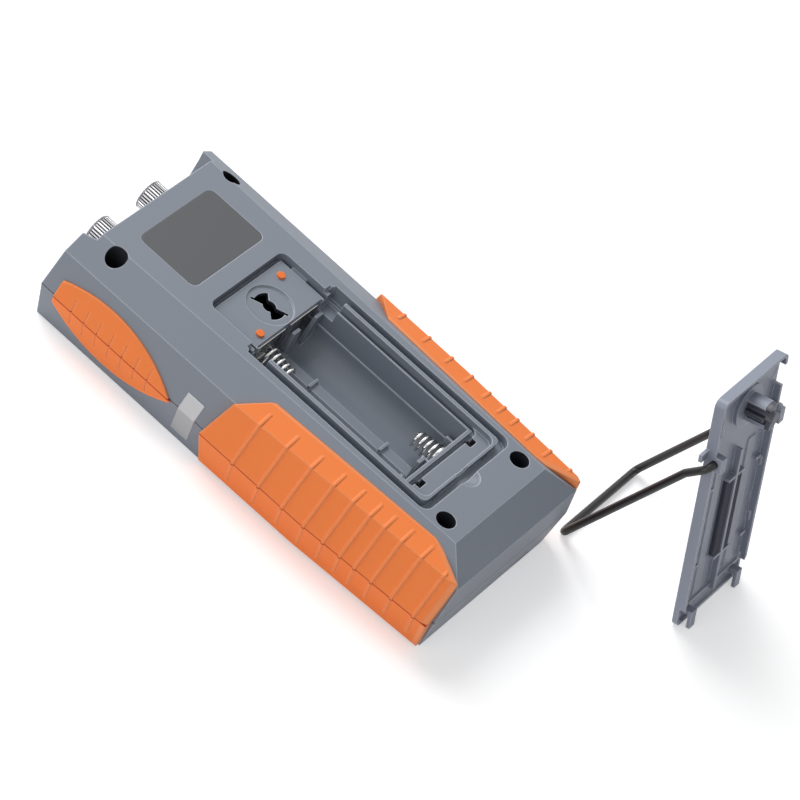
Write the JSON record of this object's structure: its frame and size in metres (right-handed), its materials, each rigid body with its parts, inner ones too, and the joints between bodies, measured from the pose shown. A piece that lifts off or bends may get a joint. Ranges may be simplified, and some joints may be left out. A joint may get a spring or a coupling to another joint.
{
  "type": "handheld optical multimeter",
  "caption": "Handheld optical multimeter lying on its face, battery door and wire bail stand taken off and standing beside it, capped optical ports, rubber side grips.",
  "frame": {"origin": "on the front rest face under the middle of the case", "axes": "+Z out through the back of the meter, +Y towards the optical ports, +X to the right seen from behind with the ports at the top"},
  "size_m": [0.1205, 0.2, 0.0793],
  "materials": {
    "housing": "fine matt moulding",
    "grip_rubber": "soft matt overmould",
    "nameplate_grey": "printed film",
    "seal_silver": "foil",
    "screw_black": "black screws",
    "contact_nickel": "bright nickel",
    "cap_chrome": "knurled and plated",
    "port_metal": "plated",
    "module_can": "metal can",
    "board_green": "solder mask",
    "display_glass": "display cell",
    "window_clear": "clear",
    "key_rubber": "keys",
    "keypad_grey": "web",
    "peg_orange": "pegs",
    "foam_grey": "foam",
    "lock_dark": "lock",
    "bail_black": "glossy black"
  },
  "bodies": {
    "meter": {"back_housing": "housing", "front_housing": "housing", "grip_rear_right": "grip_rubber", "grip_rear_left": "grip_rubber", "grip_front_right": "grip_rubber", "grip_front_left": "grip_rubber", "finger_pad_rear_right": "grip_rubber", "finger_pad_rear_left": "grip_rubber", "finger_pad_front_right": "grip_rubber", "finger_pad_front_left": "grip_rubber", "nameplate": "nameplate_grey", "seal_label": "seal_silver", "case_screws": "screw_black", "battery_terminal_negative": "contact_nickel", "battery_terminal_positive": "contact_nickel", "battery_bridge": "contact_nickel", "battery_spring_port_end": "contact_nickel", "battery_spring_foot_end": "contact_nickel", "detector_port": "port_metal", "detector_module": "module_can", "source_port": "port_metal", "source_module": "module_can", "recess_peg_1": "peg_orange", "recess_peg_2": "peg_orange", "main_board": "board_green", "display_module": "display_glass", "display_window": "window_clear", "keypad_web": "keypad_grey"},
    "battery_door": {"battery_door": "housing", "door_foam": "foam_grey"},
    "lock": {"lock_knob": "lock_dark"},
    "bail": {"bail_stand": "bail_black"},
    "detector_cap": {"detector_cap": "cap_chrome"},
    "source_cap": {"source_cap": "cap_chrome"},
    "key_1": {"key_1": "key_rubber"},
    "key_2": {"key_2": "key_rubber"},
    "key_3": {"key_3": "key_rubber"},
    "key_4": {"key_4": "key_rubber"},
    "key_5": {"key_5": "key_rubber"},
    "key_6": {"key_6": "key_rubber"}
  },
  "joints": [
    {"name": "door_lift", "type": "slide", "parent": "meter", "child": "battery_door", "axis": [0, 0, 1], "range_m": [0, 0.06]},
    {"name": "lock_turn", "type": "hinge", "parent": "battery_door", "child": "lock", "pos_m": [0.0585, -0.09264, 0.06858], "axis": [0, -0.9466, 0.3224], "range_deg": [0, 90]},
    {"name": "bail_fold", "type": "hinge", "parent": "battery_door", "child": "bail", "pos_m": [0.0585, -0.09937, 0.05937], "axis": [1, 0, 0], "range_deg": [-40, 0]},
    {"name": "detector_cap_off", "type": "slide", "parent": "meter", "child": "detector_cap", "axis": [0, 1, 0], "range_m": [0, 0.06]},
    {"name": "source_cap_off", "type": "slide", "parent": "meter", "child": "source_cap", "axis": [0, 1, 0], "range_m": [0, 0.06]},
    {"name": "key_1_press", "type": "slide", "parent": "meter", "child": "key_1", "axis": [0, 0, 1], "range_m": [0, 0.0007], "stiffness_N_per_m": 400, "springref_m": -0.0008},
    {"name": "key_2_press", "type": "slide", "parent": "meter", "child": "key_2", "axis": [0, 0, 1], "range_m": [0, 0.0007], "stiffness_N_per_m": 400, "springref_m": -0.0008},
    {"name": "key_3_press", "type": "slide", "parent": "meter", "child": "key_3", "axis": [0, 0, 1], "range_m": [0, 0.0007], "stiffness_N_per_m": 400, "springref_m": -0.0008},
    {"name": "key_4_press", "type": "slide", "parent": "meter", "child": "key_4", "axis": [0, 0, 1], "range_m": [0, 0.0007], "stiffness_N_per_m": 400, "springref_m": -0.0008},
    {"name": "key_5_press", "type": "slide", "parent": "meter", "child": "key_5", "axis": [0, 0, 1], "range_m": [0, 0.0007], "stiffness_N_per_m": 400, "springref_m": -0.0008},
    {"name": "key_6_press", "type": "slide", "parent": "meter", "child": "key_6", "axis": [0, 0, 1], "range_m": [0, 0.0007], "stiffness_N_per_m": 400, "springref_m": -0.0008}
  ]
}
